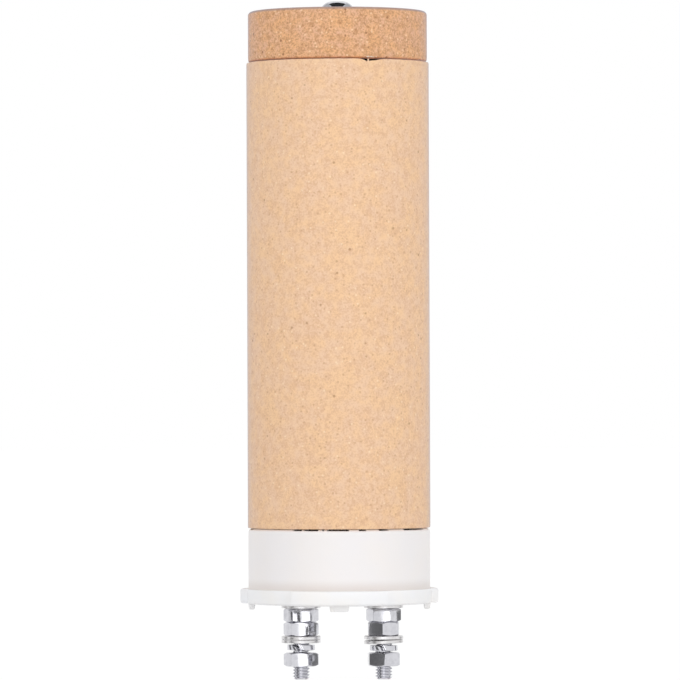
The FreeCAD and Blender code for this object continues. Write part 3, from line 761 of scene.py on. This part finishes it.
def base_cup():
    """The white cup under the core: flange, lugs, feet, bar, air windows, holes, nut pocket, uneven rim."""
    cup = turned(
        "base_cup",
        [
            (0, 0),
            (DRAFT_START, 0),
            (PLATE_RADIUS, PLATE_DRAFT, 0.5 * MM, 4),
            (PLATE_RADIUS, PLATE_THICKNESS, 0.15 * MM, 3),
            (BASE_RADIUS, PLATE_THICKNESS, 0.12 * MM, 2),
            (BASE_RADIUS, CORE_BOTTOM, 1.05 * MM, 6),
            (CAVITY_RADIUS, CORE_BOTTOM, 0.3 * MM, 3),
            (CAVITY_RADIUS, FLOOR_THICKNESS, 1.5 * MM, 6),
            (0, FLOOR_THICKNESS),
        ],
        segments=240,
    )
    cup.data.materials.append(BASE_CERAMIC)
    for number in range(3):
        shaped(cup, "UNION", lug(number))
    for number in range(4):
        shaped(cup, "UNION", foot(number))
    bar_end = CAVITY_RADIUS + 1.5 * MM
    bar = block("bar", (-bar_end, -BAR_HALF_WIDTH, FLOOR_THICKNESS - MM), (bar_end, BAR_HALF_WIDTH, BAR_TOP))
    shaped(cup, "UNION", bar)
    for side in (-1, 1):
        shaped(cup, "DIFFERENCE", air_window(side))
    hole = THREAD_RADIUS + 0.25 * MM
    for x in (*STUD_X.values(), 0):
        shaped(cup, "DIFFERENCE", rod("hole", hole, x, 0, -MM, BAR_TOP + MM))
    pocket = rod("nut_pocket", HEX_CORNER + 0.12 * MM, 0, 0, -MM, 3.6 * MM, sides=6)
    shaped(cup, "DIFFERENCE", pocket)
    softened(cup, 0.22 * MM, steps=3, sharper_than=50)
    inside, outside, top = CAVITY_RADIUS - MM, BASE_RADIUS + MM, CORE_BOTTOM + MM
    outline = [(inside, RIM_HEIGHT), (outside, RIM_HEIGHT), (outside, top), (inside, top)]
    for start, width in RIM_RELIEFS:
        steps = max(3, round(width))
        relief = sector("relief", outline, math.radians(start - 90), math.radians(width), steps)
        roughened(relief, 1.1 * MM, 0.12 * MM, lambda point: point.co.z < RIM_HEIGHT + NEAR)
        shaped(cup, "DIFFERENCE", relief)
    return finished(cup, "terminal_base", BASE_CERAMIC)


# Washers and nuts
def plain_washer(node, lean=0.0):
    """A stamped washer, its edges rounded by tumbling."""
    low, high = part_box(node)
    x = (low.x + high.x) / 2
    tilt = WASHER_RADIUS * math.sin(lean)
    bottom = low.z + tilt
    top = bottom + WASHER_THICKNESS
    washer = turned(
        node,
        [
            (WASHER_HOLE, bottom, 0.08 * MM, 2),
            (WASHER_RADIUS, bottom, 0.1 * MM, 3),
            (WASHER_RADIUS, top, 0.22 * MM, 4),
            (WASHER_HOLE, top, 0.12 * MM, 2),
        ],
        x,
        segments=128,
    )
    turned_about(washer, -lean, "Y", Vector((x, 0, bottom)))
    return finished(washer, node, WASHER_STEEL)


def hexagon(name, x, low, high, turn, chamfer_low=True):
    """A hexagonal block with bevelled corners."""
    face = HEX_FLATS / 2 - 0.15 * MM
    wide = HEX_CORNER + 0.5 * MM
    drop = (wide - face) * math.tan(math.radians(30))
    block_of_steel = rod(name, HEX_CORNER, x, 0, low, high, sides=6, turn=turn)
    bottom = [(0, low), (face, low), (wide, low + drop)] if chamfer_low else [(0, low), (wide, low)]
    envelope = turned("chamfer", [*bottom, (wide, high - drop), (face, high), (0, high)], x)
    return shaped(block_of_steel, "INTERSECT", envelope)


def hex_nut(node, turn):
    """A hexagon nut with soft corners and a countersunk thread."""
    low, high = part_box(node)
    x = (low.x + high.x) / 2
    nut = hexagon(node, x, low.z, high.z, math.radians(turn))
    root = THREAD_RADIUS - 0.32 * MM
    mouth = THREAD_RADIUS + 0.15 * MM
    drop = mouth - root
    over = 0.2 * MM
    bore = turned(
        "bore",
        [
            (0, low.z - over), (mouth + over, low.z - over), (root, low.z + drop),
            (root, high.z - drop), (mouth + over, high.z + over), (0, high.z + over),
        ],
        x,
        segments=48,
    )
    shaped(nut, "DIFFERENCE", bore)
    softened(nut, 0.12 * MM, steps=3)
    return finished(nut, node, PLATED_STEEL, smooth=50)


def split_washer(node, slit):
    """A spring washer: a left-hand turn of a flat strip, its ends bent apart beside the slanted slit."""
    low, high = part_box(node)
    x = (low.x + high.x) / 2
    inner = THREAD_RADIUS + 0.1 * MM
    outer = inner + SPRING_WIDTH
    edge = 0.1 * MM
    rise = high.z - low.z - SPRING_THICKNESS
    turn, bottom, bends = slit - SPRING_LOW_END, low.z, []
    for sweep, share in SPRING_BENDS:
        top = bottom + SPRING_THICKNESS
        corners = [(inner, bottom), (outer, bottom), (outer, top), (inner, top)]
        bend = drawn("bend", [(*corner, edge, 2) for corner in corners], x)
        mark("VERT", lambda point: point.co.z > bottom + SPRING_THICKNESS / 2)
        bpy.ops.transform.rotate(value=SPRING_SLANT, orient_axis="Z", center_override=(x, 0, 0))
        pick(bend)
        swept = bend.modifiers.new("swept", "SCREW")
        swept.angle = -math.radians(sweep)
        swept.screw_offset = share * rise
        swept.steps = swept.render_steps = max(3, sweep // 4)
        bpy.ops.object.modifier_apply(modifier=swept.name)
        bends.append(turned_about(bend, math.radians(turn), "Z", Vector((x, 0, 0))))
        turn -= sweep
        bottom += share * rise
    strip = joined(node, bends)
    edit(strip)
    bpy.ops.mesh.remove_doubles(threshold=0.1 * NEAR)
    bpy.ops.mesh.select_all(action="SELECT")
    bpy.ops.mesh.fill_holes(sides=0)
    face_outwards(strip)
    return finished(strip, node, PLATED_STEEL)


# Threads, studs and the screw
def threaded(name, x, low, high):
    """A rod with a rolled thread, its lower end bevelled."""
    root = THREAD_RADIUS - THREAD_DEPTH
    crest = THREAD_RADIUS - 0.04 * MM
    profile = [
        (root, 0), (root, 0.1), (crest - 0.03 * MM, 0.35), (crest, 0.39), (crest, 0.61),
        (crest - 0.03 * MM, 0.65), (root, 0.9), (root, 1),
    ]
    start = low - THREAD_PITCH
    outline = [(radius, start + part * THREAD_PITCH) for radius, part in profile]
    thread = drawn(name, outline, x, closed=False)
    pick(thread)
    turns = thread.modifiers.new("turns", "SCREW")
    turns.angle = FULL_TURN
    turns.screw_offset = THREAD_PITCH
    turns.iterations = math.ceil((high - low) / THREAD_PITCH) + 2
    turns.steps = turns.render_steps = 40
    bpy.ops.object.modifier_apply(modifier=turns.name)
    edit(thread)
    bpy.ops.mesh.remove_doubles(threshold=0.1 * NEAR)
    bpy.ops.mesh.select_all(action="SELECT")
    bpy.ops.mesh.fill_holes(sides=0)
    face_outwards(thread)
    point = 0.5 * MM
    limit = THREAD_RADIUS + 0.1 * MM
    envelope = turned(
        "envelope",
        [(0, low), (THREAD_RADIUS - point, low), (limit, low + point + 0.1 * MM), (limit, high), (0, high)],
        x,
        segments=40,
    )
    return shaped(thread, "INTERSECT", envelope)


def face_outwards(piece):
    """Turn the faces of a closed piece outwards."""
    tidy_shell()
    mesh = bmesh.from_edit_mesh(piece.data)
    if mesh.calc_volume(signed=True) < 0:
        bpy.ops.mesh.flip_normals()
    pick(piece)


def terminal_stud(side):
    """A hexagon head screw: its head holds the wire's eye inside the base, its thread takes the nuts."""
    node = side + "_terminal_stud"
    low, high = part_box(node)
    x = STUD_X[side]
    stud = threaded(node, x, low.z, STUD_SEAT + 0.5 * MM)
    head = hexagon("head", x, STUD_SEAT, high.z, math.radians(30), chamfer_low=False)
    softened(head, 0.12 * MM)
    shaped(stud, "UNION", head)
    return finished(stud, node, PLATED_STEEL, smooth=40)


def tie_screw():
    """The long pan head screw down the middle: domed head, tapered cross, plain shank and threaded end."""
    seat = screw_high.z - HEAD_HEIGHT
    thread_top = screw_low.z + TIE_THREAD_LENGTH
    dome = HEAD_HEIGHT - 0.4 * MM
    screw = threaded("tie_screw", 0, screw_low.z, thread_top)
    shank = THREAD_RADIUS - 0.18 * MM
    body = turned(
        "screw_head",
        [
            (0, thread_top - 0.5 * MM),
            (shank, thread_top - 0.5 * MM),
            (shank, seat - 0.2 * MM),
            (THREAD_RADIUS, seat),
            (HEAD_RADIUS, seat, 0.12 * MM, 3),
            (HEAD_RADIUS, seat + HEAD_HEIGHT, dome - 0.01 * MM, 14),
            (0, seat + HEAD_HEIGHT),
        ],
    )
    shaped(screw, "UNION", body)
    reach, width, depth = 2.2 * MM, 0.95 * MM, 1.6 * MM
    for turn in (0, math.pi / 2):
        top = screw_high.z
        arm = block("arm", (-reach, -width / 2, top - depth), (reach, width / 2, top + 0.2 * MM))
        edit(arm)
        mark("FACE", lambda face: face.normal.z < -0.9)
        bpy.ops.transform.resize(value=(0.45, 0.6, 1), center_override=(0, 0, top - depth))
        turned_about(arm, turn, "Z", Vector())
        shaped(screw, "DIFFERENCE", arm)
    softened(screw, 0.06 * MM, steps=2, sharper_than=55)
    return finished(screw, "tie_screw", PLATED_STEEL, smooth=40)


# Heating coil
def winding(middle, low, high, first, last):
    """Points of one spiral up a channel, from one side of it to another, in radians."""
    turns = round((high - low) / COIL_PITCH)
    sweep = turns * FULL_TURN + (last - first) % FULL_TURN
    steps = COIL_STEPS * turns
    points = []
    for step in range(steps + 1):
        angle = first + sweep * step / steps
        side = Vector((math.cos(angle), math.sin(angle), 0)) * COIL_RUN
        points.append(middle + side + Vector((0, 0, low + (high - low) * step / steps)))
    return points


def wire_points():
    """The whole wire: an eye round the left stud, a spiral in every channel with bridges between, an eye."""
    middles = [spot(ring, degrees) for ring, degrees in CIRCUIT]
    low = CORE_BOTTOM + COIL_INSET + WIRE_RADIUS
    high = CORE_TOP - COIL_INSET - WIRE_RADIUS
    sideways = math.pi / 2
    points = tail(STUD_X["left"], middles[0] + Vector((0, COIL_RUN, 0)), low)
    for index, middle in enumerate(middles):
        before = middles[index - 1] - middle if index else Vector((0, 1, 0))
        after = middles[index + 1] - middle if index + 1 < len(middles) else Vector((0, 1, 0))
        arrives = math.atan2(before.y, before.x)
        leaves = math.atan2(after.y, after.x)
        upward = index % 2 == 0
        if upward:
            points += winding(middle, low, high, arrives, leaves)
        else:
            points += reversed(winding(middle, low, high, leaves, arrives))
        if index + 1 < len(middles):
            points += bridge(middle, middles[index + 1], upward)
    return points + list(reversed(tail(STUD_X["right"], middles[-1] + Vector((0, COIL_RUN, 0)), low)))


def bridge(here, there, upper):
    """Points of the wire's step from one channel to the next, just outside the core's end."""
    level = CORE_TOP + BRIDGE_RISE if upper else CORE_BOTTOM - BRIDGE_RISE
    back = -1 if upper else 1
    step = (there - here).normalized() * COIL_RUN
    bend = 0.35 * MM
    inwards = Vector((0, 0, back * bend))
    along = step.normalized() * bend
    lift = Vector((0, 0, level))
    start, end = here + step + lift, there - step + lift
    down = [start + 3 * inwards, start + inwards, start + along * 0.3 + inwards * 0.3, start + along]
    return down + [end - along, end - along * 0.3 + inwards * 0.3, end + inwards, end + 3 * inwards]


def tail(x, leaves, low):
    """Points of an eye round a stud and of the tail from it, up past the stud's head to the first spiral."""
    level = STUD_SEAT - WIRE_RADIUS
    eye = THREAD_RADIUS + 0.15 * MM + WIRE_RADIUS
    beside = HEX_CORNER + 0.5 * MM + WIRE_RADIUS
    above = STUD_SEAT + STUD_HEAD_HEIGHT + 0.5 * MM + WIRE_RADIUS
    points = []
    for step in range(EYE_STEPS + 1):
        angle = math.radians(EYE_START + EYE_SWEEP * step / EYE_STEPS)
        points.append(Vector((x + eye * math.cos(angle), eye * math.sin(angle), level)))
    points += [
        Vector((x + 0.35 * MM, beside - 0.8 * MM, level)),
        Vector((x, beside - 0.1 * MM, level + 0.25 * MM)),
        Vector((x, beside, level + 0.9 * MM)),
        Vector((x, beside, above - 0.6 * MM)),
        Vector((x, beside - 0.1 * MM, above)),
        Vector((leaves.x, leaves.y + 0.1 * MM, (above + low) / 2 - 0.4 * MM)),
        Vector((leaves.x, leaves.y, (above + low) / 2 + 0.4 * MM)),
    ]
    return points


def coil_wire():
    """The resistance wire, drawn as one curve through all its points and made a mesh."""
    points = wire_points()
    curve = bpy.data.curves.new("coil_wire", "CURVE")
    curve.dimensions = "3D"
    curve.bevel_depth = WIRE_RADIUS
    curve.bevel_resolution = 2
    curve.use_fill_caps = True
    line = curve.splines.new("POLY")
    line.points.add(len(points) - 1)
    for control, point in zip(line.points, points):
        control.co = (*point, 1.0)
    wire = bpy.data.objects.new("coil_wire", curve)
    bpy.context.scene.collection.objects.link(wire)
    pick(wire)
    bpy.ops.object.convert(target="MESH")
    return finished(bpy.context.object, "heating_coil", HEATED_WIRE, smooth=60)


# Studio
# How strong the light all round is, on matt surfaces and as shiny ones show it
AMBIENT = 0.75
MIRRORED = 1.0

# The floor's own glow and the share of it in the floor's white, towards the object and towards the camera
FLOOR_GLOW = 0.75
FLOOR_GLOW_SEEN = 1.04
FLOOR_WHITE = 0.5
FLOOR_WHITE_SEEN = 0.92

# Lamps: place in metres, power in watts
LAMP_WIDTH = 0.9
LAMPS = {"key": ((-0.8, -1.1, 0.8), 3.95), "fill": ((0.9, -1.1, 0.4), 4.4)}

# Cards in the shiny surfaces: degrees right of the front and up from level, width and height in degrees,
# tone, and how far off they stand
FAR = 1.5
CLOSE = 0.065
CARDS = [
    ("camera_shade", 0, 0, 6, 130, 0.03, FAR),
    ("left_strip", -7.25, 0, 8.5, 130, 2.2, FAR),
    ("right_strip", 7, 0, 8, 130, 2.2, FAR),
    ("left_card", -57, 0, 26, 36, 0.17, FAR),
    ("left_back_card", -104, 0, 20, 36, 0.16, FAR),
    ("right_back_card", 110.8, -8, 11.6, 30, 0.22, CLOSE),
    ("top_card", 0, 88, 56, 56, 0.04, FAR),
    ("upper_left_card", -100, 45, 80, 30, 0.6, FAR),
    ("lower_left_card", -100, -45, 80, 30, 0.6, FAR),
    ("upper_right_card", 100, 45, 80, 30, 0.6, FAR),
    ("lower_right_card", 100, -45, 80, 30, 0.6, FAR),
]

# The photo's view
LENS = 328.8
SENSOR_WIDTH = 36
CAMERA_PLACE = (0.35 * MM, -1430 * MM, 48.2 * MM)
CAMERA_TILT = math.radians(90.507)
CAMERA_ROLL = math.radians(-0.21)


def soft_world():
    """Even white light from all round, pure white to the camera and in shiny surfaces."""
    world = bpy.data.worlds.new("soft_world")
    bpy.context.scene.world = world
    sheet = NodeSheet(world)
    seen, mirrored = seen_directly(sheet)
    strength = AMBIENT + seen * (1 - AMBIENT) + mirrored * (MIRRORED - AMBIENT)
    background = sheet.add("ShaderNodeBackground", {}, {"Color": (1, 1, 1, 1), "Strength": strength})
    sheet.add("ShaderNodeOutputWorld", {}, {"Surface": background})


def seen_directly(sheet):
    """1 for what the camera sees straight on or through glass, and 1 for what it sees in a shiny surface."""
    camera_ray, clear_ray, shiny_ray = (
        sheet.add("ShaderNodeLightPath", output=name)
        for name in ("Is Camera Ray", "Is Transmission Ray", "Is Glossy Ray")
    )
    return camera_ray.maths("MAXIMUM", clear_ray), shiny_ray


def white_floor():
    """A white floor just under the studs that keeps a faint shadow.

    Shiny surfaces don't show it, and a view from below passes through it.
    """
    pick()
    bpy.ops.mesh.primitive_plane_add(size=12, location=(0, 0, STUD_END - 0.05 * MM))
    floor = bpy.context.object
    floor.name = "floor"
    material, sheet = new_finish("white_floor")
    matt = sheet.add("ShaderNodeBsdfDiffuse", {}, {"Color": linear(246, 246, 246)})
    seen, _ = seen_directly(sheet)
    strength = FLOOR_GLOW + (FLOOR_GLOW_SEEN - FLOOR_GLOW) * seen
    white = sheet.add("ShaderNodeEmission", {}, {"Color": (1, 1, 1, 1), "Strength": strength})
    share = FLOOR_WHITE + (FLOOR_WHITE_SEEN - FLOOR_WHITE) * seen
    upper = sheet.add("ShaderNodeMixShader", {}, {0: share, 1: matt, 2: white})
    clear = sheet.add("ShaderNodeBsdfTransparent")
    under = sheet.add("ShaderNodeNewGeometry", output="Backfacing")
    both = sheet.add("ShaderNodeMixShader", {}, {0: under, 1: upper, 2: clear})
    sheet.add("ShaderNodeOutputMaterial", {}, {"Surface": both})
    floor.data.materials.append(material)
    floor.visible_glossy = False


def reflected_card(name, right, up, width, height, tone, distance):
    """A card that only shiny surfaces see, at angles right of the front and up from level, in degrees.

    Its width and height are in degrees too, as the middle of the object sees it.
    """
    level = distance * math.cos(math.radians(up))
    middle = spot(level, right - 90, distance * math.sin(math.radians(up)))
    pick()
    facing = (math.radians(90 - up), 0, math.radians(right))
    bpy.ops.mesh.primitive_plane_add(size=1, location=middle, rotation=facing)
    card = bpy.context.object
    card.name = name
    sides = [2 * distance * math.tan(math.radians(span / 2)) for span in (width, height)]
    card.scale = (*sides, 1)
    settle(card)
    material, sheet = new_finish(name)
    light = sheet.add("ShaderNodeEmission", {}, {"Color": (tone, tone, tone, 1), "Strength": 1.0})
    sheet.add("ShaderNodeOutputMaterial", {}, {"Surface": light})
    card.data.materials.append(material)
    card.visible_camera = False
    card.visible_diffuse = False
    card.visible_transmission = False
    card.visible_shadow = False


def lamp(name, place, power):
    """A soft square lamp that faces the middle of the core."""
    light = bpy.data.lights.new(name, "AREA")
    light.size = LAMP_WIDTH
    light.energy = power
    holder = bpy.data.objects.new(name, light)
    bpy.context.scene.collection.objects.link(holder)
    target = Vector((0, 0, 60 * MM))
    holder.location = place
    holder.rotation_euler = (Vector(place) - target).to_track_quat("Z", "Y").to_euler()
    holder.visible_glossy = False


def camera():
    """The photo's view: from far off, a third of the way up, tilted up and turned a hair."""
    lens = bpy.data.cameras.new("camera")
    lens.sensor_width = SENSOR_WIDTH
    lens.lens = LENS
    holder = bpy.data.objects.new("camera", lens)
    bpy.context.scene.collection.objects.link(holder)
    turn = Matrix.Rotation(CAMERA_TILT, 3, "X") @ Matrix.Rotation(CAMERA_ROLL, 3, "Z")
    holder.location = CAMERA_PLACE
    holder.rotation_euler = turn.to_euler()
    bpy.context.scene.camera = holder


def studio():
    """Light, floor, cards and camera."""
    soft_world()
    white_floor()
    for name, (place, power) in LAMPS.items():
        lamp(name, place, power)
    for card in CARDS:
        reflected_card(*card)
    camera()
    bpy.context.scene.view_settings.view_transform = "Standard"


core_block()
cap_disc()
base_cup()
for side, turns in TERMINALS.items():
    for place in ("inner", "base", "upper_cable"):
        plain_washer(f"{side}_{place}_washer")
    plain_washer(f"{side}_lower_cable_washer", math.radians(turns["lean"]))
    for kind in ("fixing_nut", "lock_nut", "terminal_nut"):
        hex_nut(f"{side}_{kind}", turns[kind])
    split_washer(f"{side}_spring_washer", turns["slit"])
    terminal_stud(side)
plain_washer("tie_screw_washer")
hex_nut("tie_screw_nut", 0)
tie_screw()
coil_wire()
studio()
